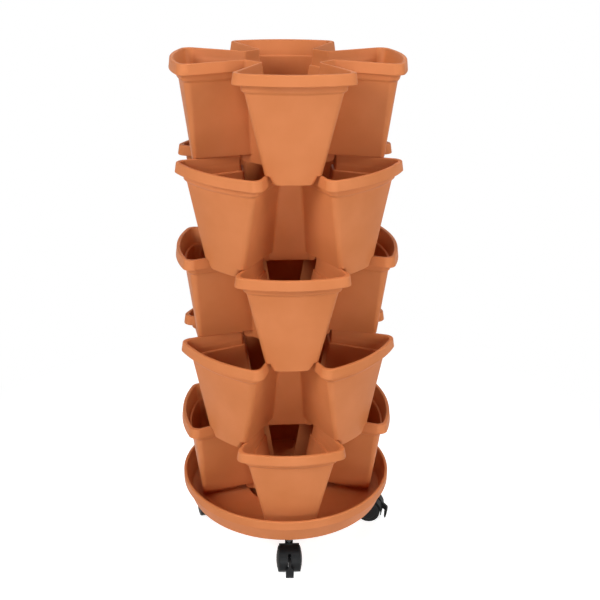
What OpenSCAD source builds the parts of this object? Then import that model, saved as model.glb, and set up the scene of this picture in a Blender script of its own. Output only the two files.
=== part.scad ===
// Vertical garden planter: five four-lobed pots stacked crosswise on a round saucer with four
// twin-wheel casters. Z is up, the floor is z = 0 and the Z axis runs up the middle of the stack.

/* [Stack] */
// Height of one pot from its feet to the top of its rim
pot_h = 148; // [120:1:180]
// Depth to which a pot's feet sink into the pot below
nest = 12; // [9:0.5:12.5]
// Height of the saucer's floor above the ground
deck_h = 66; // [65.5:0.1:72]

/* [Pot outline] */
// Distance from the axis to the middle of a lobe's rim
lobe_r = 165; // [155:1:185]
// Radius of the curved front of a lobe
front_r = 206; // [180:1:260]
// Angle between a lobe's centre line and its side wall
side_angle = 27; // [25.5:0.1:28]
// Distance from the axis to the flat valley wall between two lobes, at the rim
valley_r = 72.1; // [72:0.1:74]
// Width of the flat valley wall at the rim
valley_w = 27.3; // [26:0.1:30]
// Radius of a lobe's two front corners at the rim
corner_r = 13; // [10:0.5:16]
// Radius of the two inside corners of a valley
valley_corner = 5; // [2:0.5:6]

/* [Pot wall] */
// Wall thickness
wall = 2.3; // [1.8:0.1:2.6]
// Thickness of a pot's floor
pot_floor = 2.4; // [1.8:0.1:3.5]
// Draft of the lobe fronts
front_draft = 7.5; // [5:0.1:9]
// Draft of the lobe sides
side_draft = 9.7; // [9:0.1:10]
// Draft of the valley walls
valley_draft = 8.8; // [8:0.1:9.2]
// Angle by which a lobe's side walls turn in from the rim's sides, at the top of the body
side_turn = 6.8; // [6:0.1:7.4]
// The same angle at the floor of the lobes
floor_turn = 12.3; // [11:0.1:13]

/* [Pot rim] */
// Height of the rim band
band_h = 14.8; // [13.5:0.1:18]
// How far the band leans in from its foot to its top
band_lean = 1.8; // [1:0.1:2.4]
// How far the wall under the band stands back from it
band_step = 9.2; // [8:0.1:10]
// How far the valley wall under the band stands back from it
valley_step = 2.3; // [2:0.1:2.6]
// Width of the rim's top
rim_w = 5; // [4:0.1:5.5]
// Width of the rim's top in a valley, where the block of the pot above reaches past it
valley_rim_w = 2.4; // [2:0.1:2.8]
// Radius of the rim's top edges
rim_edge = 0.9; // [0.5:0.1:1]
// Height of the shoulder under the band
shoulder_h = 8.8; // [7:0.1:12]
// How far the body stands back from the shoulder
shoulder_step = 3.6; // [3:0.1:4.5]

/* [Pot foot] */
// Distance from the axis to the ends of the middle block that drops into the pot below
block_r = 66.4; // [64:0.1:66.8]
// Width of the block's four ends
stub_w = 28; // [22:0.5:30]
// Distance from the axis to the inner end of a lobe's foot
foot_start = 80; // [76:0.5:90]
// How far the top of a foot stands back from the lobe's side wall
foot_step = 5.8; // [5.4:0.1:8]
// Draft of a foot's sides
foot_draft = 22; // [12:0.5:26]
// Diameter of a drain hole
drain_d = 7; // [4:0.5:9]
// Distance from the axis to the ring of drain holes
drain_r = 24; // [16:0.5:30]

/* [Saucer] */
// How far the saucer's lip stands out past the lobes' fronts
saucer_over = 0.4; // [0:0.1:12]
// Depth of the saucer inside
saucer_depth = 37.4; // [30:0.1:45]
// Thickness of the saucer's floor and wall
saucer_wall = 3; // [2.4:0.1:4]
// Height of the lip band
lip_h = 14.5; // [10:0.1:18]
// Width of the lip's top
lip_w = 4.6; // [4:0.1:6]
// How far the wall under the lip band stands back from it
lip_step = 2.6; // [1:0.1:4]
// Lean of the saucer's wall below the lip band
saucer_lean = 20; // [14:0.5:24]
// Radius of the round well in the saucer's floor
well_r = 61; // [50:0.5:64]
// Depth of the well
well_depth = 9; // [4:0.5:11]
// Diameter of a caster socket under the saucer
socket_d = 19; // [16:0.5:24]
// Length of a caster socket below the top of the saucer's floor
socket_h = 17; // [15:0.5:17.5]

/* [Caster] */
// Distance from the saucer's lip to a caster's stem
caster_inset = 41.4; // [40:0.1:46]
// Distance from the stem's axis to the wheels' axle
trail = 16; // [15:0.5:17]
// Diameter of a wheel
wheel_d = 40; // [38:0.5:40.5]
// Width of one wheel
wheel_w = 15; // [13:0.1:15.5]
// Gap between the two wheels
wheel_gap = 9.6; // [9:0.1:11]
// Height of the dome on a wheel's outer face
wheel_dome = 2.8; // [1:0.1:4]
// Outside radius of the hood over the wheels
hood_r = 23; // [22.5:0.1:23.4]
// Width of the hood
hood_w = 31; // [28:0.1:34]
// Diameter of the collar round the stem
collar_d = 12.4; // [11:0.1:14]
// Height of the collar's top above the ground
collar_top = 41.6; // [40:0.1:43]
// Diameter of the steel stem
stem_d = 8; // [6:0.1:8.5]
// Diameter of the stem's lower end, which is pressed into the hood
tang_d = 5.6; // [4:0.1:6]
// Length of the stem's lower end
tang_h = 12; // [8:0.1:13]
// Diameter of the steel axle
axle_d = 5; // [4:0.1:6]
// Wire thickness of the grip ring that holds the stem in its socket
ring_d = 1.1; // [0.8:0.1:1.2]

/* [Brake pedal] */
// Diameter of the pedal's steel pin
pin_d = 2.4; // [2:0.1:2.8]
// Thickness of the pedal's arm
arm_w = 4; // [3:0.1:4.4]
// Height of the pad's lower edge above the ground
pad_foot = 5; // [4.5:0.1:7]
// Height of the pad
pad_h = 16; // [13:0.1:17]
// Width of the pedal's pad
pad_w = 12; // [9:0.1:16]
// Diameter of the lug that locks the wheels
lug_d = 3.2; // [2.6:0.1:3.4]
// Travel of the pedal
pedal_travel = 10; // [6:1:10]

/* [Fits] */
// Radial clearance of a running fit
running = 0.08; // [0.03:0.01:0.1]
// Gap between moving faces
side_gap = 0.4; // [0.3:0.05:0.5]

/* [Hidden] */
POTS = ["bottom", "lower", "middle", "upper", "top"];
CASTERS = ["front", "right", "back", "left"];
CASTER_PARTS = ["stem", "grip_ring", "hood", "axle", "left_wheel", "right_wheel", "brake_pedal", "pedal_pin"];

// Colours of the moulded pots, the black casters and their steel
TERRACOTTA = "#D6875A";
BLACK = "#1B1C1E";
STEEL = "#B9BCC0";

// Direction from the axis to each caster, and the direction in which each one trails
CASTER_AT = [for (q = [-1:2]) 90 * q - 0.9];
CASTER_TRAILS = [-91.4, -17, 90, 100];

pitch = pot_h - nest;
saucer_r = lobe_r + saucer_over;
caster_r = saucer_r - caster_inset;
// Corner between a lobe's side and the valley wall at the foot of the band, in the lobe's own frame
neck_u = (valley_r * sqrt(2) + valley_w / sqrt(2)) / 2;
neck_w = (valley_r * sqrt(2) - valley_w / sqrt(2)) / 2;
// Heights of the steps in a pot's wall
band_z = pot_h - band_h;
shoulder_z = band_z - shoulder_h;
shoulder_slope = 3;
body_z = shoulder_z - shoulder_slope;
body_inset = band_step + shoulder_step;
// Turns of a lobe's sides under the band, and inside the rim
band_turn = side_turn - 1.3;
rim_turn = 3;
// Distance from a lobe's front to the point that its side inset is measured at
pivot_back = 20;
// The corners of a lobe get tighter by this share of the inset
corner_taper = 0.25;
// Steps of the round corners and of the lobe's curved front
CORNER_STEPS = 3;
FRONT_STEPS = 4;
VALLEY_STEPS = 2;
eps = 0.01;
$fn = 96;

// Insets of the front, side and valley walls from the band's foot, and the turn of the sides, at a
// height on the body
function body_insets(z, extra = 0) = let (drop = body_z - z) [
    body_inset + drop * tan(front_draft) + extra,
    body_inset + drop * tan(side_draft) + extra,
    valley_step + shoulder_step + drop * tan(valley_draft) + extra,
    side_turn + (floor_turn - side_turn) * drop / (body_z - nest)];
// The same insets for the front and the sides, with one for the valley and a turn
function insets(side, valley, turn) = [side, side, valley, turn];

// Angle between a lobe's centre line and its side, and the side's distance from the axis, r further in
function lobe_angle(i) = side_angle - i[3];
function side_line(i, r = 0) = let (
        rim_line = neck_w * cos(side_angle) - neck_u * sin(side_angle),
        u = lobe_r - pivot_back - i[0],
        w = (rim_line - i[1] + u * sin(side_angle)) / cos(side_angle),
        a = lobe_angle(i))
    w * cos(a) - u * sin(a) - r;
// Half the width of a lobe at a distance u from the axis
function half_width(u, i) = let (a = lobe_angle(i)) (side_line(i) + u * sin(a)) / cos(a);
// Where a lobe's side meets the valley wall, or the centre of their round corner
function neck(i, r = 0) = let (
        a = lobe_angle(i),
        sum = (neck_u + neck_w) - (i[2] - r) * sqrt(2),
        w = (side_line(i, -r) + sum * sin(a)) / (cos(a) + sin(a)))
    [sum - w, w];
// Centre of a front corner's arc
function front_corner(i, r) = let (
        a = lobe_angle(i),
        back = lobe_r - front_r,
        off = side_line(i, r) + sin(a) * back,
        along = sqrt(pow(front_r - i[0] - r, 2) - off * off))
    [back - off * sin(a) + along * cos(a), off * cos(a) + along * sin(a)];

function arc(c, r, a, b, n) = [for (i = [0:n]) let (t = a + (b - a) * i / n) c + r * [cos(t), sin(t)]];
function mirror_u(p) = [for (i = [len(p) - 1:-1:0]) [p[i][0], -p[i][1]]];
function swap(p) = [for (i = [len(p) - 1:-1:0]) [p[i][1], p[i][0]]];
function turned(p, a) = [for (q = p) [q[0] * cos(a) - q[1] * sin(a), q[0] * sin(a) + q[1] * cos(a)]];

// The curved end of a lobe, from its -w side round to its +w side
function lobe_end(i, r) = let (
        c = front_corner(i, r),
        back = [lobe_r - front_r, 0],
        t = atan2(c[1], c[0] - back[0]),
        corner = arc(c, r, t, 90 + lobe_angle(i), CORNER_STEPS),
        front = arc(back, front_r - i[0], -t, t, FRONT_STEPS))
    concat(mirror_u(corner), [for (k = [1:FRONT_STEPS - 1]) front[k]], corner);
// The valley that follows a lobe, with its two round inside corners
function valley(i, r) = let (corner = arc(neck(i, r), r, lobe_angle(i) - 90, -135, VALLEY_STEPS))
    concat(corner, swap(corner));
// One closed outline of the whole pot at the insets i = [front, side, valley, turn of the sides]
function clover(i, r = valley_corner) = let (
        quarter = concat(lobe_end(i, max(corner_r - i[0] * corner_taper, 3)), valley(i, r)))
    [for (q = [0:3]) each turned(quarter, 90 * q)];

// A closed solid through a list of rings, each [height, outline]
module loft(rings) {
    n = len(rings[0][1]);
    last = len(rings) - 1;
    points = [for (r = rings, p = r[1]) [p[0], p[1], r[0]]];
    sides = [for (k = [0:last - 1], j = [0:n - 1]) let (
            a = k * n + j, b = k * n + (j + 1) % n)
        each [[a, a + n, b + n], [a, b + n, b]]];
    polyhedron(points, concat(
        [[for (j = [0:n - 1]) j]],
        sides,
        [[for (j = [n - 1:-1:0]) last * n + j]]));
}

// The pot's wall: up the outside to the rim and down the inside to the floor of the lobes
module pot_wall() {
    top_in = band_lean + rim_w;
    valley_in = band_lean + valley_rim_w;
    floor_z = nest + pot_floor;
    throat = band_step + 1.7;
    nest_in = top_in + (throat - top_in) * (nest - rim_edge) / (band_h + 0.5 - rim_edge);
    loft([
        [nest, clover(body_insets(nest))],
        [body_z, clover(body_insets(body_z))],
        [shoulder_z, clover(insets(band_step + 0.5, valley_step + 0.5, band_turn))],
        [band_z, clover(insets(band_step, valley_step, band_turn))],
        [band_z, clover(insets(rim_edge, rim_edge, 0))],
        [band_z + rim_edge, clover(insets(0, 0, 0))],
        [pot_h - rim_edge, clover(insets(band_lean, band_lean, 0))],
        [pot_h, clover(insets(band_lean + rim_edge, band_lean + rim_edge, 0))],
        [pot_h, clover(insets(top_in - rim_edge, valley_in - rim_edge, rim_turn))],
        [pot_h - rim_edge, clover(insets(top_in, valley_in, rim_turn))],
        [pot_h - nest, clover(insets(nest_in, valley_in, band_turn))],
        [band_z - 0.5, clover(insets(throat, valley_step + wall, band_turn))],
        [shoulder_z + 1, clover(insets(band_step + wall + 0.6, valley_step + wall + 0.6, band_turn))],
        [shoulder_z, clover(body_insets(body_z, wall))],
        [floor_z, clover(body_insets(floor_z, wall))]]);
}

// Outline of the middle block: a square under the four valley walls, with its corners cut off
function block_corner(z, extra) = (valley_r - body_insets(z, extra)[2]) * sqrt(2) - (stub_w / 2 - extra);
function block(z, extra = 0) = let (u = block_corner(z, extra), w = stub_w / 2 - extra)
    [for (q = [0:3]) each turned([[u, -w], [u, w]], 90 * q)];
// Outline of the end that fills each cut corner
function stub(z, extra = 0) = let (u = block_corner(z, extra) - 6, w = stub_w / 2 - extra, end = block_r - extra)
    [[u, -w], [end, -w], [end, w], [u, w]];
// Outline of a lobe's foot, which stands outside the pot below with its sides along that pot's rim
function foot(z, extra = 0) = let (
        i = body_insets(z, extra),
        side = i[1] + foot_step + (nest - z) * (tan(foot_draft) - tan(side_draft)),
        j = [i[0], side, 0, 2 * side_angle - 45],
        w = half_width(foot_start + extra, j))
    concat([[foot_start + extra, -w]], lobe_end(j, 6), [[foot_start + extra, w]]);

module slab(z, outline) { translate([0, 0, z]) linear_extrude(eps) polygon(outline); }
module tapered(z0, outline0, z1, outline1) { hull() { slab(z0, outline0); slab(z1 - eps, outline1); } }

// One pot, standing on z = 0 with its lobes on the X and Y axes
module pot() {
    over = nest + pot_floor / 2;
    open = nest + pot_floor + 1;
    color(TERRACOTTA) difference() {
        union() {
            pot_wall();
            tapered(0, block(0), over, block(over, 0.2));
            for (q = [0:3]) rotate([0, 0, 90 * q]) {
                tapered(0, stub(0), over, stub(over));
                tapered(0, foot(0), over, foot(over, 0.2));
            }
        }
        tapered(pot_floor, block(pot_floor, wall), open, block(open, wall));
        for (q = [0:3]) rotate([0, 0, 90 * q]) {
            tapered(pot_floor, stub(pot_floor, wall), open, stub(open, wall));
            tapered(pot_floor, foot(pot_floor, wall), open, foot(open, wall));
            rotate([0, 0, 45]) translate([drain_r, 0, -1]) cylinder(d = drain_d, h = pot_floor + 2, $fn = 24);
        }
    }
}

// The saucer: a lipped tray with a well in the middle and four caster sockets underneath
saucer_wall_z = saucer_depth - lip_h;
saucer_foot_r = saucer_r - lip_step - (saucer_wall_z + saucer_wall) * tan(saucer_lean);
stem_top = deck_h - saucer_wall - side_gap;
ring_z = deck_h - 8;
module saucer() {
    lip_in = saucer_r - lip_w;
    floor_in = saucer_foot_r + saucer_wall * tan(saucer_lean) - saucer_wall;
    edge = 1.5;
    color(TERRACOTTA) difference() {
        union() {
            translate([0, 0, deck_h]) rotate_extrude($fn = 180) polygon(concat(
                [[0, -well_depth], [0, -well_depth - saucer_wall], [well_r + saucer_wall, -well_depth - saucer_wall],
                 [well_r + saucer_wall, -saucer_wall]],
                [[saucer_foot_r - 2, -saucer_wall], [saucer_foot_r + 0.4, 1 - saucer_wall]],
                [[saucer_r - lip_step, saucer_wall_z], [saucer_r, saucer_wall_z]],
                arc([saucer_r - edge, saucer_depth - edge], edge, 0, 90, 4),
                arc([lip_in + edge, saucer_depth - edge], edge, 90, 180, 4),
                [[lip_in - 0.6, saucer_wall_z], [floor_in + 2, 2], [floor_in, 0], [well_r, 0], [well_r - 1, -well_depth]]));
            for (a = CASTER_AT) rotate([0, 0, a]) translate([caster_r, 0, deck_h - socket_h])
                cylinder(d = socket_d, h = socket_h - saucer_wall / 2);
        }
        for (a = CASTER_AT) rotate([0, 0, a]) translate([caster_r, 0, 0]) {
            translate([0, 0, deck_h - socket_h - 1])
                cylinder(r = stem_d / 2 + running, h = stem_top - (deck_h - socket_h - 1));
            translate([0, 0, ring_z - ring_d / 2 - running])
                cylinder(r = stem_d / 2 + ring_d / 2 + running, h = ring_d + 2 * running);
        }
    }
}

// Places a caster's piece: the stem's axis is Z, and the wheels trail along X
module at_caster(i) {
    rotate([0, 0, CASTER_AT[i]]) translate([caster_r, 0, 0])
        rotate([0, 0, CASTER_TRAILS[i] - CASTER_AT[i]]) children();
}
// Turns a shape drawn with its axis on Z to the axle's direction, at the axle
module on_axle() { translate([trail, 0, axle_z]) rotate([-90, 0, 0]) children(); }
// A plate of a given thickness in the caster's middle plane, from an outline in X and Z
module mid_plate(t) { translate([0, t / 2, 0]) rotate([90, 0, 0]) linear_extrude(t) children(); }

wheel_r = wheel_d / 2;
axle_z = wheel_r;
web_w = wheel_gap - 2 * side_gap;
wheel_out = wheel_gap / 2 + wheel_w;
axle_half = wheel_out - wheel_dome - 1.5;
tread_gap = 1.1;
// Angles at which the hood's edge and the web's edge stand, seen from the axle
hood_front = -12;
hood_back = 190;
// Height of the top of the pedal's slot above the axle
slot_top = 18.4;
// The pedal's pin and its locking lug, in the caster's frame
pin_at = [trail + 11, axle_z + 9.5];
lug_at = [trail + 2.6, axle_z + 14.2];
// Where the lug stands with the pedal pressed, and the middle of its way there
lug_arm = lug_at - pin_at;
lug_pressed = pin_at + [
    lug_arm[0] * cos(pedal_travel) + lug_arm[1] * sin(pedal_travel),
    lug_arm[1] * cos(pedal_travel) - lug_arm[0] * sin(pedal_travel)];
lug_mid = (lug_at + lug_pressed) / 2;
slot_gap = 0.3;

// The stem, with a narrower end in the hood's collar and a groove near its top for the grip ring
module stem() {
    groove_r = stem_d / 2 - ring_d / 2 - running;
    half = ring_d / 2 + running;
    color(STEEL) difference() {
        union() {
            translate([0, 0, collar_top - tang_h]) cylinder(d = tang_d, h = tang_h + 1);
            translate([0, 0, collar_top]) cylinder(d = stem_d, h = stem_top - 0.8 - collar_top);
            translate([0, 0, stem_top - 0.8]) cylinder(d1 = stem_d, d2 = stem_d - 1.2, h = 0.8);
        }
        translate([0, 0, ring_z - half]) difference() {
            cylinder(r = stem_d, h = 2 * half);
            translate([0, 0, -1]) cylinder(r = groove_r, h = 2 * half + 2);
        }
    }
}

// The open steel ring that snaps the stem into its socket
module grip_ring() {
    color(STEEL) translate([0, 0, ring_z]) rotate([0, 0, 20]) rotate_extrude(angle = 320)
        translate([stem_d / 2, 0]) circle(d = ring_d, $fn = 16);
}

module sector(r, from, to) {
    steps = 12;
    polygon(concat([[0, 0]], [for (i = [0:steps]) let (t = from + (to - from) * i / steps) r * [cos(t), sin(t)]]));
}

// The hood: a fender over both wheels on a middle web that holds the axle, the stem and the pedal
module hood() {
    clear_r = wheel_r + tread_gap;
    boss_r = axle_d / 2 + 3;
    over = hood_w;
    color(BLACK) difference() {
        union() {
            on_axle() translate([0, 0, -hood_w / 2]) cylinder(r = hood_r, h = hood_w);
            translate([0, 0, axle_z]) cylinder(d = collar_d, h = collar_top - axle_z);
        }
        for (s = [-1, 1]) translate([trail, s * (web_w / 2 + over / 2), axle_z]) rotate([90, 0, 0])
            cylinder(r = clear_r, h = over, center = true);
        difference() {
            mid_plate(2 * over) translate([trail, axle_z]) sector(3 * hood_r, hood_back, 360 + hood_front);
            mid_plate(web_w) translate([trail, axle_z]) circle(r = boss_r);
        }
        mid_plate(arm_w + 2 * slot_gap) difference() {
            translate([lug_at[0] - 4, 0]) square([3 * hood_r, axle_z + slot_top]);
            translate([trail, axle_z]) circle(r = boss_r + 1.5);
        }
        translate([lug_mid[0], 0, lug_mid[1]]) rotate([90, 0, 0])
            cylinder(d = lug_d + norm(lug_pressed - lug_at) + 2 * side_gap, h = 2 * over, center = true);
        translate([pin_at[0], 0, pin_at[1]]) rotate([90, 0, 0]) cylinder(d = pin_d, h = over, center = true);
        on_axle() cylinder(d = axle_d, h = 2 * over, center = true);
        translate([0, 0, collar_top - tang_h]) cylinder(d = tang_d, h = tang_h + 1);
    }
}

module axle() { color(STEEL) on_axle() translate([0, 0, -axle_half]) cylinder(d = axle_d, h = 2 * axle_half); }

// One wheel, on the side s of the web: a domed disc with a rim recess that the brake's lug locks
module wheel(s) {
    tread_r = wheel_r - 0.8;
    dome_r = (tread_r * tread_r + wheel_dome * wheel_dome) / (2 * wheel_dome);
    edge_y = wheel_out - wheel_dome;
    bore = axle_d / 2 + running;
    recess = wheel_gap / 2 + 6.5;
    color(BLACK) on_axle() mirror([0, 0, s < 0 ? 1 : 0]) rotate_extrude() polygon(concat(
        [[0, axle_half + side_gap], [bore, axle_half + side_gap], [bore, wheel_gap / 2], [bore + 3.5, wheel_gap / 2],
         [bore + 4, recess], [wheel_r - 2, recess], [wheel_r - 1.8, wheel_gap / 2],
         [tread_r, wheel_gap / 2], [wheel_r, wheel_gap / 2 + 0.8], [wheel_r, edge_y - 1.2]],
        [for (i = [0:8]) let (r = tread_r * (1 - i / 8)) [r, wheel_out - dome_r + sqrt(dome_r * dome_r - r * r)]]));
}

// The brake pedal: an arm that comes out through the hood's slot, with a pad to step on
module brake_pedal() {
    pad_top = pad_foot + pad_h;
    // Where the pad's inner face stands in front of the axle
    pad_x = trail + 26.4;
    color(BLACK) difference() {
        union() {
            mid_plate(arm_w) polygon([
                lug_at + [-1.2, 1.4], lug_at + [-1.4, -1.2], pin_at + [-2.6, -1.6], pin_at + [0, -3],
                pin_at + [5, -4.6], pin_at + [11, -8.4], [pad_x, pad_foot + 13], [pad_x, pad_foot + 3],
                [pad_x + 0.8, pad_foot], [pad_x + 2.2, pad_foot], [pad_x + 4, pad_foot + 5],
                [pad_x + 4.6, pad_foot + 12], [pad_x + 4, pad_foot + 18], [pad_x + 1.6, pad_foot + 21.6],
                pin_at + [12.6, 0.6], pin_at + [8, 2], pin_at + [1.6, 2.8], lug_at + [2, 1.6]]);
            mid_plate(pad_w) polygon([
                [pad_x, pad_foot + 3], [pad_x + 0.8, pad_foot], [pad_x + 2.2, pad_foot], [pad_x + 4, pad_foot + 5],
                [pad_x + 4.6, pad_foot + 12], [pad_x + 4.4, pad_top], [pad_x + 1.2, pad_top],
                [pad_x, pad_top - 1.4]]);
            translate([lug_at[0], 0, lug_at[1]]) rotate([90, 0, 0]) cylinder(d = lug_d, h = web_w + 8, center = true);
        }
        translate([pin_at[0], 0, pin_at[1]]) rotate([90, 0, 0])
            cylinder(r = pin_d / 2 + running, h = 2 * arm_w, center = true);
    }
}

module pedal_pin() {
    color(STEEL) translate([pin_at[0], 0, pin_at[1]]) rotate([90, 0, 0]) cylinder(d = pin_d, h = web_w, center = true);
}

module caster_part(name) {
    if (name == "stem") stem();
    if (name == "grip_ring") grip_ring();
    if (name == "hood") hood();
    if (name == "axle") axle();
    if (name == "left_wheel") wheel(-1);
    if (name == "right_wheel") wheel(1);
    if (name == "brake_pedal") brake_pedal();
    if (name == "pedal_pin") pedal_pin();
}

for (i = [0:len(POTS) - 1])
    translate([0, 0, deck_h + i * pitch]) rotate([0, 0, i % 2 * 45]) pot();
saucer();
for (i = [0:3], p = CASTER_PARTS)
    at_caster(i) caster_part(p);
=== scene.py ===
# Looks of the vertical garden planter: five four-lobed pots, their saucer and its four casters.
# Lengths are in millimetres while a piece is shaped, and every mesh is made in metres.
from math import atan2, cos, hypot, pi, radians, sin, sqrt, tan

import bmesh
import bpy
from mathutils import Matrix, Vector


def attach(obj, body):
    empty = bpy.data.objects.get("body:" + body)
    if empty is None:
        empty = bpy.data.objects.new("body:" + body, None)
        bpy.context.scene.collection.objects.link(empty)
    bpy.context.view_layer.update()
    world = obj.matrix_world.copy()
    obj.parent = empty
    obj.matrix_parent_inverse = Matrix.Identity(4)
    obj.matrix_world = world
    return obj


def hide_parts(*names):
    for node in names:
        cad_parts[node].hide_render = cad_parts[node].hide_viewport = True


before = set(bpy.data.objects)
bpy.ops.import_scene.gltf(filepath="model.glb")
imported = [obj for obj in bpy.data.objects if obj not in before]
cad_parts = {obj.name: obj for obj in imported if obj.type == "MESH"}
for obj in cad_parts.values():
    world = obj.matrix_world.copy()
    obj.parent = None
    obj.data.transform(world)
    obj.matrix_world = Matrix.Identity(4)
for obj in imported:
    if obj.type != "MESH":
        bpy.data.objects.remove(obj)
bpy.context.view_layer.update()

MM = 0.001

# The stack: each pot drops into the one below by NEST
POTS = ["bottom", "lower", "middle", "upper", "top"]
DECK_Z = 66
POT_H = 148
NEST = 12
PITCH = POT_H - NEST

# Plan of a pot at the foot of its rim band
LOBE_R = 165
FRONT_R = 206
SIDE_ANGLE = radians(27)
VALLEY_R = 72.1
VALLEY_W = 27.3

# The upright edges at a lobe's front, which get tighter as the wall goes in
CORNER_R = 13
CORNER_TAPER = 0.25
LEAST_CORNER_R = 3

# How many steps an outline takes round a lobe's corner, along its front and round a valley's inside corner
CORNER_STEPS = 9
FRONT_STEPS = 16
VALLEY_STEPS = 6

# How many steps the saucer, a wheel, a hood's fender, and a round part or bore take round their axis
DISH_STEPS = 288
WHEEL_STEPS = 96
FENDER_STEPS = 60
ROUND_STEPS = 64
SMALL_STEPS = 32

# A pot's wall: its thickness, its lean, and how far a lobe's sides turn in from SIDE_ANGLE at each level
WALL = 2.3
FLOOR = 2.4
FRONT_DRAFT = tan(radians(7.5))
SIDE_DRAFT = tan(radians(9.7))
VALLEY_DRAFT = tan(radians(8.8))
FLOOR_TURN = radians(12.3)
SIDE_TURN = radians(6.8)
BAND_TURN = radians(5.5)
RIM_TURN = radians(3)
PIVOT_BACK = 20

# The rim band, the shoulder under it and the top of the body, as heights and as insets from the band's foot
BAND_Z = 133.2
BAND_LEAN = 1.8
BAND_STEP = 9.2
VALLEY_STEP = 2.3
RIM_W = 5
VALLEY_RIM_W = 2.4
SHOULDER_Z = 124.4
SHOULDER_LEAN = 0.5
THROAT_W = 1.7
BODY_Z = 121.4
BODY_INSET = 12.8
VALLEY_BODY_INSET = 5.9

# Radii of a valley's inside corners
RIM_BEND = 4
BAND_BEND = 5
BODY_BEND = 6
FLOOR_BEND = 4.5

# Feet and middle block of a pot, whose lowest corners are round when seen from the side
BLOCK_R = 66.4
BLOCK_EDGE = 1.2
BLOCK_BEND_START = 52.7
BLOCK_BEND_H = 8
STUB_W = 28
FOOT_START = 80
FOOT_STEP = 5.8
FOOT_DRAFT = tan(radians(22))
FOOT_CORNER_R = 6
DRAIN_D = 7
DRAIN_R = 24

# Saucer
SAUCER_R = 165.4
SAUCER_DEPTH = 37.4
SAUCER_WALL = 3
SAUCER_LEAN = tan(radians(20))
LIP_H = 14.5
LIP_W = 4.6
LIP_STEP = 2.6
WELL_R = 61
WELL_DEPTH = 9
SOCKET_D = 19
SOCKET_H = 17
STEM_TOP = 62.6

# Casters: each one's place round the saucer and the way it trails, in degrees
CASTERS = {"front": (-90.9, -91.4), "right": (-0.9, -17), "back": (89.1, 90), "left": (179.1, 100)}
CASTER_R = 124
TRAIL = 16
AXLE_Z = 20
WHEEL_R = 20
WHEEL_W = 15
WHEEL_GAP = 9.6
WHEEL_DOME = 2.8

# Hood: its fender's radii, width and ends, in degrees seen from the axle, then its web, boss and collar
HOOD_R = 23
HOOD_IN = 21.1
HOOD_W = 31
HOOD_FRONT = -12
HOOD_BACK = 190
WEB_W = 8.8
BOSS_R = 5.5
COLLAR_D = 12.4
COLLAR_TOP = 41.6

# Steel parts, the play of what turns on them, and the brake pedal with its locking lug
STEM_D = 8
TANG_D = 5.6
TANG_H = 12
AXLE_D = 5
PIN_D = 2.4
RUNNING = 0.08
LUG_D = 3.2
ARM_W = 4
PAD_W = 12
PAD_FOOT = 5
PAD_H = 16

# Places in a caster, along X and Z: its axle, the pedal's pin, and the lug at rest and with the pedal pressed
AXLE = (TRAIL, AXLE_Z)
PIN = (TRAIL + 11, AXLE_Z + 9.5)
LUG = (TRAIL + 2.6, AXLE_Z + 14.2)
PRESSED_LUG = (TRAIL + 3.54, AXLE_Z + 15.59)

# Edges that meet at less than this angle are shaded as one smooth surface
CREASE = radians(32)
# Points nearer than this are one point. A bevel leaves some a little apart, so after it more is taken.
SAME_POINT = 0.0005
SAME_AFTER_BEVEL = 0.003
# Half the length of a cutter that goes right through a hood's web or a pedal's arm
THROUGH = 8


# Shapes

def rounded(corners, steps=5):
    """A line through corners, each given as its values and the length of its bend, with soft corners."""
    line = []
    for k, (corner, bend) in enumerate(corners):
        if not bend or k in (0, len(corners) - 1):
            line.append(corner)
            continue
        ends = []
        for other in (corners[k - 1][0], corners[k + 1][0]):
            length = hypot(other[0] - corner[0], other[1] - corner[1])
            share = min(bend / length, 0.49)
            ends.append([c + (o - c) * share for c, o in zip(corner, other)])
        for i in range(steps + 1):
            t = i / steps
            line.append([(1 - t) ** 2 * a + 2 * t * (1 - t) * c + t * t * b
                         for a, c, b in zip(ends[0], corner, ends[1])])
    return line


def closed_rounded(corners, steps):
    """A closed outline with soft corners."""
    around = [corners[-1]] + corners + [corners[0]]
    line = []
    for k in range(1, len(around) - 1):
        line += rounded(around[k - 1:k + 2], steps)[1:-1]
    return line


def arc(centre, r, start, end, steps):
    """Points along an arc, with both its ends."""
    return [(centre[0] + r * cos(start + (end - start) * i / steps),
             centre[1] + r * sin(start + (end - start) * i / steps)) for i in range(steps + 1)]


def circle(r, steps):
    """A circle about the origin, without its first point again at its end."""
    return arc((0, 0), r, 0, 2 * pi, steps)[:-1]


def turned(points, angle):
    """Points turned about the origin."""
    c = cos(angle)
    s = sin(angle)
    return [(x * c - y * s, x * s + y * c) for x, y in points]


# Where a lobe's side meets the valley wall at the foot of the rim band, along and across the lobe
NECK_U = (VALLEY_R * sqrt(2) + VALLEY_W / sqrt(2)) / 2
NECK_W = (VALLEY_R * sqrt(2) - VALLEY_W / sqrt(2)) / 2


def lobe_angle(inset):
    """Angle between a lobe's centre line and its side. An inset is that of the front, the side and the valley
    wall from the band's foot, and the turn of the side."""
    return SIDE_ANGLE - inset[3]


def side_line(inset, r=0.0):
    """Distance of a lobe's side from the pot's axis."""
    rim_line = NECK_W * cos(SIDE_ANGLE) - NECK_U * sin(SIDE_ANGLE)
    u = LOBE_R - PIVOT_BACK - inset[0]
    w = (rim_line - inset[1] + u * sin(SIDE_ANGLE)) / cos(SIDE_ANGLE)
    return w * cos(lobe_angle(inset)) - u * sin(lobe_angle(inset)) - r


def half_width(u, inset):
    """Half the width of a lobe at a distance u from the pot's axis."""
    return (side_line(inset) + u * sin(lobe_angle(inset))) / cos(lobe_angle(inset))


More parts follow.
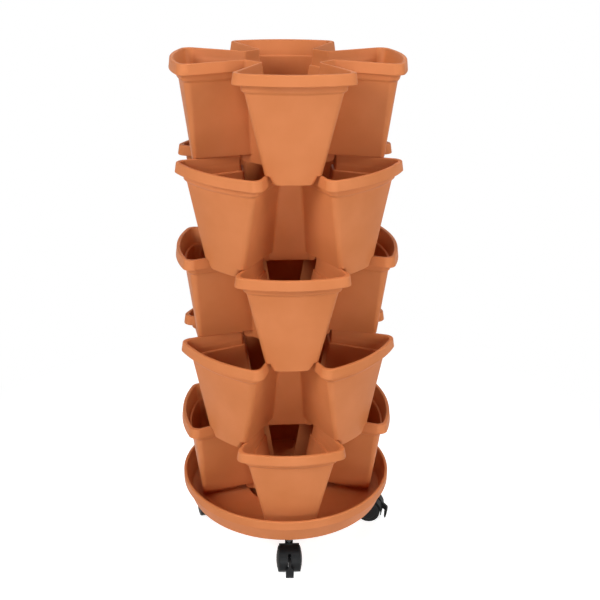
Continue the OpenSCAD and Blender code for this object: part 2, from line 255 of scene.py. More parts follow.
def neck(inset, r):
    """The centre of the round corner where a lobe's side meets the valley wall."""
    a = lobe_angle(inset)
    total = NECK_U + NECK_W - (inset[2] - r) * sqrt(2)
    w = (side_line(inset, -r) + total * sin(a)) / (cos(a) + sin(a))
    return total - w, w


def lobe_end(inset, r):
    """The curved end of a lobe, from one side wall round to the other."""
    a = lobe_angle(inset)
    back = LOBE_R - FRONT_R
    off = side_line(inset, r) + sin(a) * back
    along = sqrt((FRONT_R - inset[0] - r) ** 2 - off * off)
    centre = (back - off * sin(a) + along * cos(a), off * cos(a) + along * sin(a))
    t = atan2(centre[1], centre[0] - back)
    corner = arc(centre, r, t, pi / 2 + a, CORNER_STEPS)
    face = arc((back, 0), FRONT_R - inset[0], -t, t, FRONT_STEPS)
    return [(x, -y) for x, y in reversed(corner)] + face[1:-1] + corner


def valley_bend(inset, r):
    """The valley wall with its two round inside corners."""
    corner = arc(neck(inset, r), r, lobe_angle(inset) - pi / 2, -3 * pi / 4, VALLEY_STEPS)
    return corner + [(y, x) for x, y in reversed(corner)]


def clover(inset, valley_corner):
    """One closed outline of a whole pot."""
    r = max(CORNER_R - inset[0] * CORNER_TAPER, LEAST_CORNER_R)
    quarter = lobe_end(inset, r) + valley_bend(inset, valley_corner)
    return [p for q in range(4) for p in turned(quarter, q * pi / 2)]


def body_insets(z, extra=0.0):
    """The inset of the pot's body at a height, with an extra for what lies further in."""
    drop = BODY_Z - z
    turn = SIDE_TURN + (FLOOR_TURN - SIDE_TURN) * drop / (BODY_Z - NEST)
    return [BODY_INSET + drop * FRONT_DRAFT + extra, BODY_INSET + drop * SIDE_DRAFT + extra,
            VALLEY_BODY_INSET + drop * VALLEY_DRAFT + extra, turn]


def loft(rings):
    """A closed solid through rings, each a height and an outline that runs anticlockwise."""
    bm = bmesh.new()
    rows = [[bm.verts.new((x * MM, y * MM, z * MM)) for x, y in outline] for z, outline in rings]
    n = len(rows[0])
    for low, high in zip(rows, rows[1:]):
        for j in range(n):
            bm.faces.new((low[j], low[(j + 1) % n], high[(j + 1) % n], high[j]))
    bm.faces.new(reversed(rows[0]))
    bm.faces.new(rows[-1])
    return bm


def lathe(section, steps):
    """A closed solid turned about Z from a section of (radius, height) that starts and ends on the axis."""
    bm = bmesh.new()
    rows = []
    for r, z in section:
        if r < SAME_POINT:
            rows.append([bm.verts.new((0, 0, z * MM))] * steps)
        else:
            rows.append([bm.verts.new((x * MM, y * MM, z * MM)) for x, y in circle(r, steps)])
    for low, high in zip(rows, rows[1:]):
        for j in range(steps):
            corners = [low[j], low[(j + 1) % steps], high[(j + 1) % steps], high[j]]
            kept = [v for i, v in enumerate(corners) if v is not corners[i - 1]]
            if len(kept) > 2:
                bm.faces.new(kept)
    bmesh.ops.recalc_face_normals(bm, faces=bm.faces)
    return bm


def plate(outline, half, centre=0.0):
    """A flat plate in the caster's middle plane, from an outline in X and Z."""
    bm = bmesh.new()
    near = [bm.verts.new((x * MM, (centre - half) * MM, z * MM)) for x, z in outline]
    far = [bm.verts.new((x * MM, (centre + half) * MM, z * MM)) for x, z in outline]
    n = len(outline)
    for j in range(n):
        bm.faces.new((near[j], near[(j + 1) % n], far[(j + 1) % n], far[j]))
    bm.faces.new(reversed(near))
    bm.faces.new(far)
    bmesh.ops.recalc_face_normals(bm, faces=bm.faces)
    return bm


def rod(d, low, high, at=(0, 0), across=False, steps=ROUND_STEPS):
    """A round solid: upright at (x, y), or lying across the caster at (x, z)."""
    outline = circle(d / 2, steps)
    bm = loft([(low, outline), (high, outline)])
    if across:
        bm.transform(Matrix.Translation((at[0] * MM, 0, at[1] * MM)) @ Matrix.Rotation(-pi / 2, 4, "X"))
    else:
        bm.transform(Matrix.Translation((at[0] * MM, at[1] * MM, 0)))
    return bm


def spun(bm):
    """Four copies of a solid, each turned a quarter further about the pot's axis."""
    copies = []
    for q in range(4):
        copy = bm.copy()
        copy.transform(Matrix.Rotation(q * pi / 2, 4, "Z"))
        copies.append(copy)
    return copies


def as_mesh(bm, name):
    """A mesh of a solid, which is used up."""
    mesh = bpy.data.meshes.new(name)
    bm.to_mesh(mesh)
    bm.free()
    return mesh


def as_solid(mesh):
    """A solid of a mesh, which is used up."""
    bm = bmesh.new()
    bm.from_mesh(mesh)
    bpy.data.meshes.remove(mesh)
    return bm


def in_scene(name, data):
    """A new object in the scene."""
    made = bpy.data.objects.new(name, data)
    bpy.context.scene.collection.objects.link(made)
    return made


def combined(name, base, added=(), cut=(), bevel=0.0):
    """One mesh of a solid with other solids added to it and cut out of it. A bevel, where one is given,
    breaks its edges."""
    whole = in_scene(name, as_mesh(base, name))
    helpers = []
    for solids, operation in ((added, "UNION"), (cut, "DIFFERENCE")):
        for solid in solids:
            helper = in_scene(f"{name}_helper", as_mesh(solid, f"{name}_helper"))
            helpers.append(helper)
            step = whole.modifiers.new(helper.name, "BOOLEAN")
            step.operation = operation
            step.object = helper
            step.solver = "EXACT"
    if bevel:
        edge = whole.modifiers.new("edge", "BEVEL")
        edge.width = bevel * MM
        edge.segments = 2
        edge.limit_method = "ANGLE"
        edge.angle_limit = radians(40)
    bpy.context.view_layer.update()
    made = bpy.data.meshes.new_from_object(whole.evaluated_get(bpy.context.evaluated_depsgraph_get()))
    for used in helpers + [whole]:
        old = used.data
        bpy.data.objects.remove(used)
        bpy.data.meshes.remove(old)
    return smoothed(made, name, SAME_AFTER_BEVEL if bevel else SAME_POINT)


def smoothed(mesh, name, merge=SAME_POINT):
    """Smooth shading up to the crease angle. Points nearer than the merge distance become one."""
    bm = bmesh.new()
    bm.from_mesh(mesh)
    bmesh.ops.remove_doubles(bm, verts=bm.verts, dist=merge * MM)
    bmesh.ops.dissolve_degenerate(bm, edges=bm.edges, dist=SAME_POINT * MM)
    for face in bm.faces:
        face.smooth = True
    for edge in bm.edges:
        edge.smooth = edge.calc_face_angle(0) < CREASE
    bm.to_mesh(mesh)
    bm.free()
    mesh.name = name
    return mesh


# Pots

def pot_wall():
    """The wall of a pot: up the outside, over the rim and down the inside to the floor of the lobes."""
    top_in = BAND_LEAN + RIM_W
    valley_in = BAND_LEAN + VALLEY_RIM_W
    throat = BAND_STEP + THROAT_W
    throat_z = BAND_Z - 0.5
    nest_in = top_in + (throat - top_in) * NEST / (POT_H - throat_z)
    shoulder = BAND_STEP + SHOULDER_LEAN
    shoulder_in = BAND_STEP + WALL + 0.6
    floor_z = NEST + FLOOR
    low = body_insets(NEST)
    inner = body_insets(floor_z, WALL)
    # The flat of the floor starts this far in from the wall, underneath and on top
    floor_edge = 3
    inner_edge = 2.6
    # Each corner is a height, the insets of the front, the side and the valley, the turn, and the radius of
    # the valley's inside corners. The length of its bend follows.
    section = [
        ([NEST, *[v + floor_edge for v in low[:3]], low[3], FLOOR_BEND], 0),
        ([NEST, *low, FLOOR_BEND], 1.5),
        ([BODY_Z, *body_insets(BODY_Z), BODY_BEND], 1.6),
        ([SHOULDER_Z, shoulder, shoulder, VALLEY_STEP + SHOULDER_LEAN, BAND_TURN, BODY_BEND], 1.4),
        ([BAND_Z, BAND_STEP, BAND_STEP, VALLEY_STEP, BAND_TURN, BAND_BEND], 1.2),
        ([BAND_Z, 0, 0, 0, 0, BAND_BEND], 1.3),
        ([POT_H, BAND_LEAN, BAND_LEAN, BAND_LEAN, 0, RIM_BEND], 1.5),
        ([POT_H, top_in, top_in, valley_in, RIM_TURN, RIM_BEND], 1.5),
        ([POT_H - NEST, nest_in, nest_in, valley_in, BAND_TURN, RIM_BEND], 1.5),
        ([throat_z, throat, throat, VALLEY_STEP + WALL, BAND_TURN, BAND_BEND], 2),
        ([SHOULDER_Z + 1, shoulder_in, shoulder_in, VALLEY_STEP + WALL + 0.6, BAND_TURN, BODY_BEND], 0.7),
        ([SHOULDER_Z, *body_insets(BODY_Z, WALL), BODY_BEND], 0.9),
        ([floor_z, *inner, BAND_BEND], 1.8),
        ([floor_z, *[v + inner_edge for v in inner[:3]], inner[3], BAND_BEND], 0)]
    return loft([(z, clover(inset, r)) for z, *inset, r in rounded(section)])


def core_outline(z, extra):
    """The middle block: a square under the four valley walls, with a stub at each corner, which drops into
    the pot below."""
    w = STUB_W / 2 - extra
    u = (VALLEY_R - body_insets(z, extra)[2]) * sqrt(2) - w
    reach = BLOCK_R - extra
    corner = 2.5
    stub_corner = 2
    stub = [((u, -w), corner), ((reach, -w), stub_corner), ((reach, w), stub_corner), ((u, w), corner)]
    corners = [(turned([p], q * pi / 2)[0], bend) for q in range(4) for p, bend in stub]
    return closed_rounded(corners, 4)


def foot_outline(z, extra):
    """The foot of a lobe, which stands outside the pot below with its sides along that pot's rim."""
    front, side, _, _ = body_insets(z, extra)
    inset = [front, side + FOOT_STEP + (NEST - z) * (FOOT_DRAFT - SIDE_DRAFT), 0, 2 * SIDE_ANGLE - pi / 4]
    start = FOOT_START + extra
    wide = half_width(start, inset)
    # The side runs straight for at least this far before it turns round the inner end
    run = 8
    along = (start + run, half_width(start + run, inset))
    ends = [((along[0], -along[1]), 0), ((start, -wide), 3), ((start, wide), 3), (along, 0)]
    inner_end = rounded(ends, 4)[1:-1]
    return lobe_end(inset, FOOT_CORNER_R) + inner_end[::-1]


def sunk(outline, top_z):
    """A block that stands on the pot's lowest level, with its bottom edge rounded."""
    section = rounded([([0, BLOCK_EDGE * 2], 0), ([0, 0], BLOCK_EDGE), ([top_z, 0.03], 0)], 5)
    return loft([(z, outline(z, extra)) for z, extra in section])


def hollow(outline, top_z):
    """What is cut out of such a block to leave its wall and its floor."""
    section = rounded([([FLOOR, WALL + 1], 0), ([FLOOR, WALL], 0.9), ([top_z, WALL], 0)], 4)
    return loft([(z, outline(z, extra)) for z, extra in section])


def corner_cutter(rise):
    """Rounds the block's lowest corners, seen from the side. The rise lifts the same round for the hollow."""
    # The cutter reaches this far past the block
    past = 0.2
    below = -3
    beyond = BLOCK_R + 6
    quarter = [i * pi / 16 for i in range(9)]
    bend = [(BLOCK_R + past - (BLOCK_R - BLOCK_BEND_START) * (1 - sin(t)) - rise,
             BLOCK_BEND_H * (1 - cos(t)) + rise) for t in quarter]
    start = (BLOCK_BEND_START - rise - past, below)
    return plate([start] + bend + [(beyond, BLOCK_BEND_H + rise), (beyond, below)], STUB_W / 2 + 2)


def pot_mesh():
    """A whole pot: its wall, with the middle block and the four feet joined on and hollowed from above."""
    over = NEST + FLOOR / 2
    open_z = NEST + FLOOR + 1
    middle = as_solid(combined("pot_middle", sunk(core_outline, over), cut=spun(corner_cutter(0))))
    chamber = as_solid(combined("pot_chamber", hollow(core_outline, open_z), cut=spun(corner_cutter(WALL))))
    drains = []
    for q in range(4):
        at = turned([(DRAIN_R, 0)], pi / 4 + q * pi / 2)[0]
        drains.append(rod(DRAIN_D, -1, FLOOR + 1, at, steps=SMALL_STEPS))
    return combined("pot", pot_wall(), [middle] + spun(sunk(foot_outline, over)),
                    [chamber] + spun(hollow(foot_outline, open_z)) + drains)


# Saucer

def saucer_mesh():
    """The saucer: a lipped dish with a well in its floor and a bored socket underneath for each caster."""
    wall_z = SAUCER_DEPTH - LIP_H
    foot_r = SAUCER_R - LIP_STEP - (wall_z + SAUCER_WALL) * SAUCER_LEAN
    floor_in = foot_r + SAUCER_WALL * SAUCER_LEAN - SAUCER_WALL
    lip_in = SAUCER_R - LIP_W
    section = rounded([
        ([0, -WELL_DEPTH - SAUCER_WALL], 0),
        ([WELL_R + SAUCER_WALL, -WELL_DEPTH - SAUCER_WALL], 2.5),
        ([WELL_R + SAUCER_WALL, -SAUCER_WALL], 1.5),
        ([foot_r, -SAUCER_WALL], 2.4),
        ([SAUCER_R - LIP_STEP, wall_z], 0.9),
        ([SAUCER_R, wall_z], 1.1),
        ([SAUCER_R, SAUCER_DEPTH], 1.9),
        ([lip_in, SAUCER_DEPTH], 1.9),
        ([lip_in - 0.6, wall_z], 3),
        ([floor_in + 1.5, 1.5], 3),
        ([floor_in - 4, 0], 3),
        ([WELL_R, 0], 1.6),
        ([WELL_R - 1, -WELL_DEPTH], 2.5),
        ([0, -WELL_DEPTH], 0)], 6)
    dish = lathe([(r, z + DECK_Z) for r, z in section], DISH_STEPS)
    mouth_z = DECK_Z - SOCKET_H
    socket_side = rounded([([2, mouth_z], 0), ([SOCKET_D / 2, mouth_z], 0.8),
                           ([SOCKET_D / 2, DECK_Z - SAUCER_WALL / 2], 0)])
    # A bore with the socket's own steps leaves open edges, and one with fewer doesn't
    bore_steps = 60
    sockets = []
    bores = []
    for at, _ in CASTERS.values():
        place = turned([(CASTER_R, 0)], radians(at))[0]
        socket = loft([(z, circle(r, ROUND_STEPS)) for r, z in socket_side])
        socket.transform(Matrix.Translation((place[0] * MM, place[1] * MM, 0)))
        sockets.append(socket)
        bores.append(rod(STEM_D + 2 * RUNNING, mouth_z - 1, STEM_TOP, place, steps=bore_steps))
    return combined("saucer", dish, sockets, bores)


# Casters, drawn with the stem's axis on Z and the wheels trailing along X

def fender():
    """The arched shell over both wheels, with rounded edges."""
    half = HOOD_W / 2
    rim = closed_rounded([((HOOD_IN, -half), 0.5), ((HOOD_R, -half), 0.8), ((HOOD_R, half), 0.8),
                          ((HOOD_IN, half), 0.5)], 3)
    bm = bmesh.new()
    rows = []
    for i in range(FENDER_STEPS + 1):
        a = radians(HOOD_FRONT + (HOOD_BACK - HOOD_FRONT) * i / FENDER_STEPS)
        rows.append([bm.verts.new(((TRAIL + r * cos(a)) * MM, y * MM, (AXLE_Z + r * sin(a)) * MM))
                     for r, y in rim])
    n = len(rim)
    for low, high in zip(rows, rows[1:]):
        for j in range(n):
            bm.faces.new((low[j], low[(j + 1) % n], high[(j + 1) % n], high[j]))
    bm.faces.new(reversed(rows[0]))
    bm.faces.new(rows[-1])
    bmesh.ops.recalc_face_normals(bm, faces=bm.faces)
    return bm


def hood_mesh():
    """The hood: the fender on a middle web, with the axle's boss, the stem's collar and the pedal's slot."""
    front = radians(HOOD_FRONT)
    back = radians(HOOD_BACK)
    # The web's ends stand back a little from the fender's, and its rim lies inside the fender
    tuck = radians(0.6)
    web = plate(arc(AXLE, HOOD_IN + 0.9, front + tuck, back - tuck, 48)
                + arc(AXLE, BOSS_R, back, 2 * pi + front, 24), WEB_W / 2)
    collar_side = rounded([([1, AXLE_Z], 0), ([COLLAR_D / 2, AXLE_Z], 0), ([COLLAR_D / 2, COLLAR_TOP], 0.7),
                           ([1, COLLAR_TOP], 0)])
    collar = loft([(z, circle(r, ROUND_STEPS)) for r, z in collar_side])
    # The wheels' wells are cut out of the collar. They reach a little into the fender and the web, so that
    # no two faces lie on each other.
    well_edge = arc(AXLE, HOOD_IN + 0.5, 0, 2 * pi, WHEEL_STEPS)[:-1]
    well_half = 10
    into_web = 0.3
    wells = [plate(well_edge, well_half, side * (WEB_W / 2 + well_half - into_web)) for side in (-1, 1)]
    collar = as_solid(combined("collar", collar, cut=wells))
    # The slot for the pedal's arm starts beside the lug, runs round the boss and opens the fender's end
    slot_x = LUG[0] - 4
    slot_z = AXLE_Z + 18.4
    slot_end = TRAIL + 30
    slot_foot = -4
    slot_corner = arc((slot_x + 1, slot_z - 1), 1, pi, pi / 2, 4)
    around = arc(AXLE, BOSS_R + 1.5, radians(101.5), radians(-90), 24)
    slot = plate([(slot_x, around[0][1]), (slot_x, slot_z - 1)] + slot_corner
                 + [(slot_end, slot_z), (slot_end, slot_foot), (around[-1][0], slot_foot)] + around[::-1],
                 ARM_W / 2 + 0.3)
    lug_mid = [(a + b) / 2 for a, b in zip(LUG, PRESSED_LUG)]
    lug_swing = hypot(PRESSED_LUG[0] - LUG[0], PRESSED_LUG[1] - LUG[1])
    cuts = [
        slot,
        rod(LUG_D + lug_swing + 0.8, -THROUGH, THROUGH, lug_mid, True),
        rod(PIN_D, -THROUGH, THROUGH, PIN, True, SMALL_STEPS),
        rod(AXLE_D, -THROUGH, THROUGH, AXLE, True),
        rod(TANG_D, COLLAR_TOP - TANG_H, COLLAR_TOP + 2)]
    return combined("hood", fender(), [web, collar], cuts)


def wheel_mesh(side):
    """A moulded wheel: a tread with soft edges, a domed face with a shallow ring round its hub cap, and a
    deep recess on the inner side."""
    bore = AXLE_D / 2 + RUNNING
    inner = WHEEL_GAP / 2
    out = inner + WHEEL_W
    deep = inner + 6.5
    # The bore ends 0.4 past the axle's own end
    axle_end = out - WHEEL_DOME - 1.5
    blind = axle_end + 0.4
    tread_r = WHEEL_R - 0.8
    dome_r = (tread_r ** 2 + WHEEL_DOME ** 2) / (2 * WHEEL_DOME)

    def face_y(r):
        return out - dome_r + sqrt(dome_r ** 2 - r * r)

    # The face runs in from the tread to the axle, with the shallow ring on the way
    face = []
    rings = 14
    for k in range(rings + 1):
        r = tread_r * (1 - k / rings)
        groove = 0.55 if 12.4 < r < 14 else 0
        bend = 0.3 if 11 < r < 16 else 0
        face.append(([r, face_y(r) - groove], bend))
    section = rounded([
        ([0, blind], 0),
        ([bore, blind], 0),
        ([bore, inner], 0.4),
        ([bore + 3.5, inner], 0.5),
        ([bore + 4, deep], 0.8),
        ([WHEEL_R - 2, deep], 0.8),
        ([WHEEL_R - 1.8, inner], 0.3),
        ([tread_r, inner], 0.5),
        ([WHEEL_R, inner + 0.9], 0.5),
        ([WHEEL_R, out - WHEEL_DOME - 1.2], 1.4)] + face, 4)
    bm = lathe(section, WHEEL_STEPS)
    bm.transform(Matrix.Translation((TRAIL * MM, 0, AXLE_Z * MM)) @ Matrix.Rotation(-pi / 2, 4, "X"))
    if side < 0:
        bm.transform(Matrix.Diagonal((1, -1, 1, 1)))
        bmesh.ops.reverse_faces(bm, faces=bm.faces)
    return smoothed(as_mesh(bm, "wheel"), "wheel")


def pedal_mesh():
    """The brake pedal: an arm from the lug past its pin to a broad pad behind the wheels."""
    pad_x = TRAIL + 26.4
    pad_top = PAD_FOOT + PAD_H
    # Seen from the side, from the lug down the arm's lower edge and back up its upper one
    arm = [
        ((LUG[0] - 1.2, LUG[1] + 1.4), 1),
        ((LUG[0] - 1.4, LUG[1] - 1.2), 1),
        ((PIN[0] - 2.6, PIN[1] - 1.6), 1.5),
        ((PIN[0], PIN[1] - 3), 1.5),
        ((PIN[0] + 5, PIN[1] - 4.6), 2),
        ((PIN[0] + 11, PIN[1] - 8.4), 2),
        ((pad_x, PAD_FOOT + 13), 3),
        ((pad_x, PAD_FOOT + 3), 0.5),
        ((pad_x + 0.8, PAD_FOOT), 0.5),
        ((pad_x + 2.2, PAD_FOOT), 0.5),
        ((pad_x + 4, PAD_FOOT + 5), 2),
        ((pad_x + 4.6, PAD_FOOT + 12), 3),
        ((pad_x + 4, PAD_FOOT + 18), 2.5),
        ((pad_x + 1.6, PAD_FOOT + 21.6), 2.5),
        ((PIN[0] + 12.6, PIN[1] + 0.6), 2.5),
        ((PIN[0] + 8, PIN[1] + 2), 2),
        ((PIN[0] + 1.6, PIN[1] + 2.8), 2),
        ((LUG[0] + 2, LUG[1] + 1.6), 1)]
    pad = [
        ((pad_x, PAD_FOOT + 3), 1),
        ((pad_x + 0.8, PAD_FOOT), 0.7),
        ((pad_x + 2.2, PAD_FOOT), 0.7),
        ((pad_x + 4, PAD_FOOT + 5), 2),
        ((pad_x + 4.6, PAD_FOOT + 12), 3),
        ((pad_x + 4.4, pad_top), 1),
        ((pad_x + 1.2, pad_top), 0.8),
        ((pad_x, pad_top - 1.4), 0.8)]
    # The arm widens into the pad in three steps, each lower and wider than the one before
    flare = []
    foot = pad_top - 2
    for step in (1, 2, 3):
        crest = pad_top + 4.5 - step
        outline = [((pad_x - 0.4 + step * 0.1, foot), 0.3), ((pad_x + 4.4, foot), 0.3),
                   ((pad_x + 4.2 - step * 0.2, crest), 0.8), ((pad_x + 0.2 + step * 0.1, crest), 0.8)]
        flare.append(plate(closed_rounded(outline, 3), ARM_W / 2 + step * 0.9))
    lug_reach = WEB_W / 2 + 4
    lug = rod(LUG_D, -lug_reach, lug_reach, LUG, True)
    pin_bore = rod(PIN_D + 2 * RUNNING, -THROUGH, THROUGH, PIN, True, SMALL_STEPS)
    return combined("pedal", plate(closed_rounded(arm, 4), ARM_W / 2),
                    flare + [plate(closed_rounded(pad, 4), PAD_W / 2), lug], [pin_bore], 0.35)


# Materials

def paint(code):
    """An sRGB hex value as the linear colour a shader takes."""
    channels = [int(code[i:i + 2], 16) / 255 for i in (1, 3, 5)]
    return [c / 12.92 if c <= 0.04045 else ((c + 0.055) / 1.055) ** 2.4 for c in channels] + [1]


def node(tree, kind, inputs=None, **settings):
    """Adds one node, sets its properties, and fills its inputs with values or other nodes' outputs."""
    made = tree.nodes.new(kind)
    for name, value in settings.items():
        setattr(made, name, value)
    for socket, value in (inputs or {}).items():
        if isinstance(value, bpy.types.NodeSocket):
            tree.links.new(value, made.inputs[socket])
        else:
            made.inputs[socket].default_value = value
    return made


def per(mm):
    """The scale of a pattern whose features are this many millimetres apart."""
    return 1 / (mm * MM)


def new_material(name):
    material = bpy.data.materials.new(name)
    material.use_nodes = True
    material.node_tree.nodes.clear()
    return material, material.node_tree


def place_on_piece(tree):
    """Coordinates on the piece in metres, shifted by a chance amount so that no two pieces look alike."""
    coords = node(tree, "ShaderNodeTexCoord")
    chance = node(tree, "ShaderNodeObjectInfo")
    shift = node(tree, "ShaderNodeVectorMath", {0: coords.outputs["Object"], 1: chance.outputs["Random"]},
                 operation="ADD")
    return shift.outputs[0]


def moulded_polypropylene():
    """Injection-moulded polypropylene, coloured terracotta: a soft satin face with the fine grain that a
    spark-eroded mould leaves, long shallow waves where it shrank, and faint clouds of uneven colour."""
    material, tree = new_material("terracotta_polypropylene")
    where = place_on_piece(tree)
    clouds = node(tree, "ShaderNodeTexNoise", {"Vector": where, "Scale": per(70), "Detail": 3,
                                               "Roughness": 0.5})
    tint = node(tree, "ShaderNodeValToRGB", {"Fac": clouds.outputs["Fac"]})
    dark, light = tint.color_ramp.elements
    dark.position = 0.3
    dark.color = paint("#C87744")
    light.position = 0.7
    light.color = paint("#D2804E")
    # The real grain is about 0.2 mm; it is drawn at 1.4 mm, the finest that shows
    grain = node(tree, "ShaderNodeTexNoise", {"Vector": where, "Scale": per(1.4), "Detail": 2,
                                              "Roughness": 0.6})
    # The waves are three times as deep as the grain
    waves = node(tree, "ShaderNodeTexNoise", {"Vector": where, "Scale": per(28), "Detail": 1})
    relief = node(tree, "ShaderNodeMath", {0: waves.outputs["Fac"], 1: 3.0, 2: grain.outputs["Fac"]},
                  operation="MULTIPLY_ADD")
    bump = node(tree, "ShaderNodeBump", {"Strength": 0.5, "Distance": 0.14 * MM, "Height": relief.outputs[0]})
    gloss = node(tree, "ShaderNodeMapRange", {"Value": grain.outputs["Fac"], "To Min": 0.5, "To Max": 0.6})
    shader = node(tree, "ShaderNodeBsdfPrincipled", {
        "Base Color": tint.outputs["Color"], "Roughness": gloss.outputs["Result"],
        "Specular IOR Level": 0.2, "Normal": bump.outputs["Normal"]})
    node(tree, "ShaderNodeOutputMaterial", {"Surface": shader.outputs["BSDF"]})
    return material


def moulded_nylon():
    """Injection-moulded black nylon: near black, with a grey sheen over a fine mould grain."""
    material, tree = new_material("black_nylon")
    where = place_on_piece(tree)
    clouds = node(tree, "ShaderNodeTexNoise", {"Vector": where, "Scale": per(9), "Detail": 3})
    tint = node(tree, "ShaderNodeValToRGB", {"Fac": clouds.outputs["Fac"]})
    dark, light = tint.color_ramp.elements
    dark.color = paint("#0B0C0D")
    light.color = paint("#131416")
    # The real grain is about 0.1 mm; it is drawn at 0.5 mm, the finest that shows
    grain = node(tree, "ShaderNodeTexNoise", {"Vector": where, "Scale": per(0.5), "Detail": 2})
    bump = node(tree, "ShaderNodeBump", {"Strength": 0.3, "Distance": 0.03 * MM,
                                         "Height": grain.outputs["Fac"]})
    gloss = node(tree, "ShaderNodeMapRange", {"Value": clouds.outputs["Fac"], "To Min": 0.42, "To Max": 0.55})
    shader = node(tree, "ShaderNodeBsdfPrincipled", {
        "Base Color": tint.outputs["Color"], "Roughness": gloss.outputs["Result"],
        "Specular IOR Level": 0.17, "Normal": bump.outputs["Normal"]})
    node(tree, "ShaderNodeOutputMaterial", {"Surface": shader.outputs["BSDF"]})
    return material


def zinc_plated_steel():
    """Turned steel under bright zinc plating: a clear metal gloss with faint rings left by the tool."""
    material, tree = new_material("zinc_plated_steel")
    # The rings lie half a millimetre apart up a stem: clouds of 20 mm, squeezed 40 times along its axis
    coords = node(tree, "ShaderNodeTexCoord")
    along = node(tree, "ShaderNodeMapping", {"Vector": coords.outputs["Object"], "Scale": (1, 1, 40)})
    rings = node(tree, "ShaderNodeTexNoise", {"Vector": along.outputs[0], "Scale": per(20), "Detail": 2})
    tint = node(tree, "ShaderNodeValToRGB", {"Fac": rings.outputs["Fac"]})
    dark, light = tint.color_ramp.elements
    dark.color = paint("#BFC2C5")
    light.color = paint("#D9DBDD")
    bump = node(tree, "ShaderNodeBump", {"Strength": 0.25, "Distance": 0.02 * MM,
                                         "Height": rings.outputs["Fac"]})
    gloss = node(tree, "ShaderNodeMapRange", {"Value": rings.outputs["Fac"], "To Min": 0.3, "To Max": 0.45})
    shader = node(tree, "ShaderNodeBsdfPrincipled", {
        "Base Color": tint.outputs["Color"], "Metallic": 1.0, "Roughness": gloss.outputs["Result"],
        "Normal": bump.outputs["Normal"]})
    node(tree, "ShaderNodeOutputMaterial", {"Surface": shader.outputs["BSDF"]})
    return material


TERRACOTTA = moulded_polypropylene()
NYLON = moulded_nylon()
STEEL = zinc_plated_steel()


# Placing the pieces

def piece(name, mesh, material, place, body, replaced):
    """Puts a mesh in its place, with its turn kept in the mesh, as one piece on its body."""
    mesh = mesh.copy()
    mesh.transform(place.to_3x3().to_4x4())
    made = in_scene(name, mesh)
    made.location = place.to_translation()
    mesh.materials.clear()
    mesh.materials.append(material)
    even = made.modifiers.new("even", "WEIGHTED_NORMAL")
    even.keep_sharp = True
    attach(made, body)
    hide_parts(replaced)


pot = pot_mesh()
for i, name in enumerate(POTS):
    place = Matrix.Translation((0, 0, (DECK_Z + i * PITCH) * MM)) @ Matrix.Rotation(i % 2 * pi / 4, 4, "Z")
    piece(f"{name}_pot_moulding", pot, TERRACOTTA, place, f"{name}_pot", f"{name}_pot")
piece("saucer_moulding", saucer_mesh(), TERRACOTTA, Matrix.Identity(4), "saucer", "saucer")

hood = hood_mesh()
wheels = {"left": wheel_mesh(-1), "right": wheel_mesh(1)}
pedal = pedal_mesh()
for name, (at, trail) in CASTERS.items():
    place = (Matrix.Rotation(radians(at), 4, "Z") @ Matrix.Translation((CASTER_R * MM, 0, 0))
             @ Matrix.Rotation(radians(trail - at), 4, "Z"))
    piece(f"{name}_hood_fender", hood, NYLON, place, f"{name}_caster", f"{name}_hood")
    for side, disc in wheels.items():
        wheel = f"{name}_{side}_wheel"
        piece(f"{wheel}_disc", disc, NYLON, place, wheel, wheel)
    piece(f"{name}_pedal_lever", pedal, NYLON, place, f"{name}_brake_pedal", f"{name}_brake_pedal")
    for part in ("stem", "grip_ring", "axle", "pedal_pin"):
        steel_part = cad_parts[f"{name}_{part}"]
        steel_part.data.materials.clear()
        steel_part.data.materials.append(STEEL)


# Floor, light and camera

# How bright the floor looks where no light reaches it, and where it fades to white, in metres from the stack
FLOOR_GLOW = 0.77
FADE_START = 0.3
FADE_END = 0.75
# How strongly the surroundings light the planter
AMBIENT = 0.015
# The camera's place in millimetres, its turns to the left, down and about its own axis, and its lens
CAMERA_AT = (-82.42, -1383.68, 964.76)
PAN = -0.07398
TILT = 0.3918
ROLL = 0.0115
LENS = 59.037
SENSOR_W = 36


def sees_background(tree):
    """1 for the rays that show the white background: the camera's own, reflected and refracted ones."""
    ray = node(tree, "ShaderNodeLightPath")
    kinds = [ray.outputs[kind] for kind in ("Is Camera Ray", "Is Glossy Ray", "Is Transmission Ray")]
    either = node(tree, "ShaderNodeMath", {0: kinds[0], 1: kinds[1]}, operation="MAXIMUM")
    return node(tree, "ShaderNodeMath", {0: either.outputs[0], 1: kinds[2]}, operation="MAXIMUM").outputs[0]


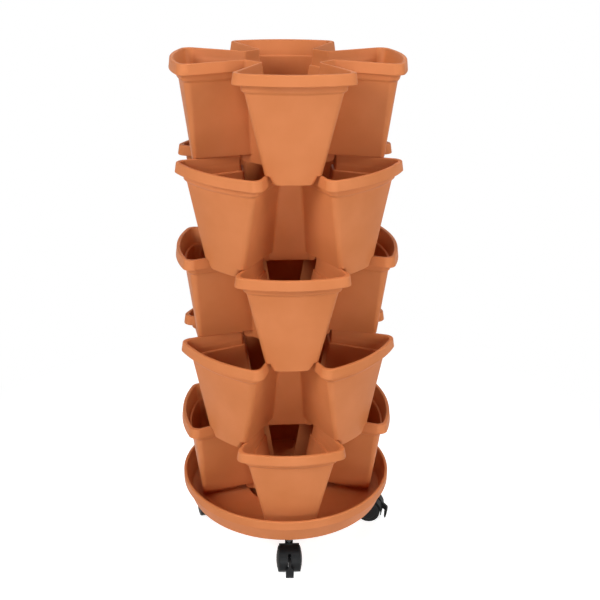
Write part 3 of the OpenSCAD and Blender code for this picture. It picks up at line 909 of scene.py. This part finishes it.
def pale_floor():
    """A pale studio floor that keeps the planter's soft shadow and runs out into plain white."""
    material, tree = new_material("pale_studio_floor")
    background = sees_background(tree)
    coords = node(tree, "ShaderNodeTexCoord")
    reach = node(tree, "ShaderNodeVectorMath", {0: coords.outputs["Object"]}, operation="LENGTH")
    fade = node(tree, "ShaderNodeMapRange", {"Value": reach.outputs["Value"], "From Min": FADE_START,
                                             "From Max": FADE_END}, interpolation_type="SMOOTHSTEP")
    away = node(tree, "ShaderNodeMath", {0: fade.outputs["Result"], 1: background}, operation="MULTIPLY")
    matt = node(tree, "ShaderNodeBsdfDiffuse", {"Color": paint("#DCDCDC")})
    glow = node(tree, "ShaderNodeEmission", {"Color": paint("#FFFFFF"), "Strength": FLOOR_GLOW})
    none = node(tree, "ShaderNodeEmission", {"Strength": 0.0})
    white = node(tree, "ShaderNodeEmission", {"Color": paint("#FFFFFF"), "Strength": 1.0})
    seen = node(tree, "ShaderNodeMixShader", {0: background, 1: none.outputs[0], 2: glow.outputs[0]})
    near = node(tree, "ShaderNodeAddShader", {0: matt.outputs[0], 1: seen.outputs[0]})
    whole = node(tree, "ShaderNodeMixShader", {0: away.outputs[0], 1: near.outputs[0], 2: white.outputs[0]})
    node(tree, "ShaderNodeOutputMaterial", {"Surface": whole.outputs[0]})
    return material


bm = bmesh.new()
bmesh.ops.create_grid(bm, x_segments=1, y_segments=1, size=20)
floor = in_scene("studio_floor", as_mesh(bm, "studio_floor"))
floor.data.materials.append(pale_floor())

world = bpy.data.worlds.new("studio")
bpy.context.scene.world = world
world.use_nodes = True
tree = world.node_tree
tree.nodes.clear()
backdrop = node(tree, "ShaderNodeBackground", {"Color": paint("#FFFFFF"), "Strength": 1.0})
ambient = node(tree, "ShaderNodeBackground", {"Color": paint("#FFFFFF"), "Strength": AMBIENT})
mixed = node(tree, "ShaderNodeMixShader", {0: sees_background(tree), 1: ambient.outputs[0],
                                           2: backdrop.outputs[0]})
node(tree, "ShaderNodeOutputWorld", {"Surface": mixed.outputs[0]})


def softbox(name, place, size, power, glints=True):
    """A round soft light in metres and watts, aimed at the middle of the stack. Without glints it still
    lights the planter, but isn't seen in it."""
    light = bpy.data.lights.new(name, "AREA")
    light.shape = "DISK"
    light.size = size
    light.energy = power
    lamp = in_scene(name, light)
    middle = Vector((0, 0, 0.38))
    aim = (middle - Vector(place)).to_track_quat("-Z", "Y")
    lamp.matrix_world = Matrix.Translation(place) @ aim.to_matrix().to_4x4()
    lamp.visible_glossy = glints


softbox("front_softbox", (0.1, -3.0, 0.8), 0.9, 29)
softbox("left_softbox", (-2.3, -1.75, 2.0), 1.3, 57)
softbox("right_softbox", (2.6, -1.35, 1.9), 1.3, 40)
softbox("top_softbox", (0, -0.7, 2.9), 1.2, 23)
softbox("back_softbox", (0.4, 3.0, 1.4), 2.0, 40, False)

camera = in_scene("camera", bpy.data.cameras.new("camera"))
camera.data.lens = LENS
camera.data.sensor_width = SENSOR_W
camera.matrix_world = (Matrix.Translation([v * MM for v in CAMERA_AT]) @ Matrix.Rotation(PAN, 4, "Z")
                       @ Matrix.Rotation(pi / 2 - TILT, 4, "X") @ Matrix.Rotation(ROLL, 4, "Z"))
bpy.context.scene.camera = camera
bpy.context.scene.view_settings.view_transform = "Standard"

bpy.context.view_layer.update()
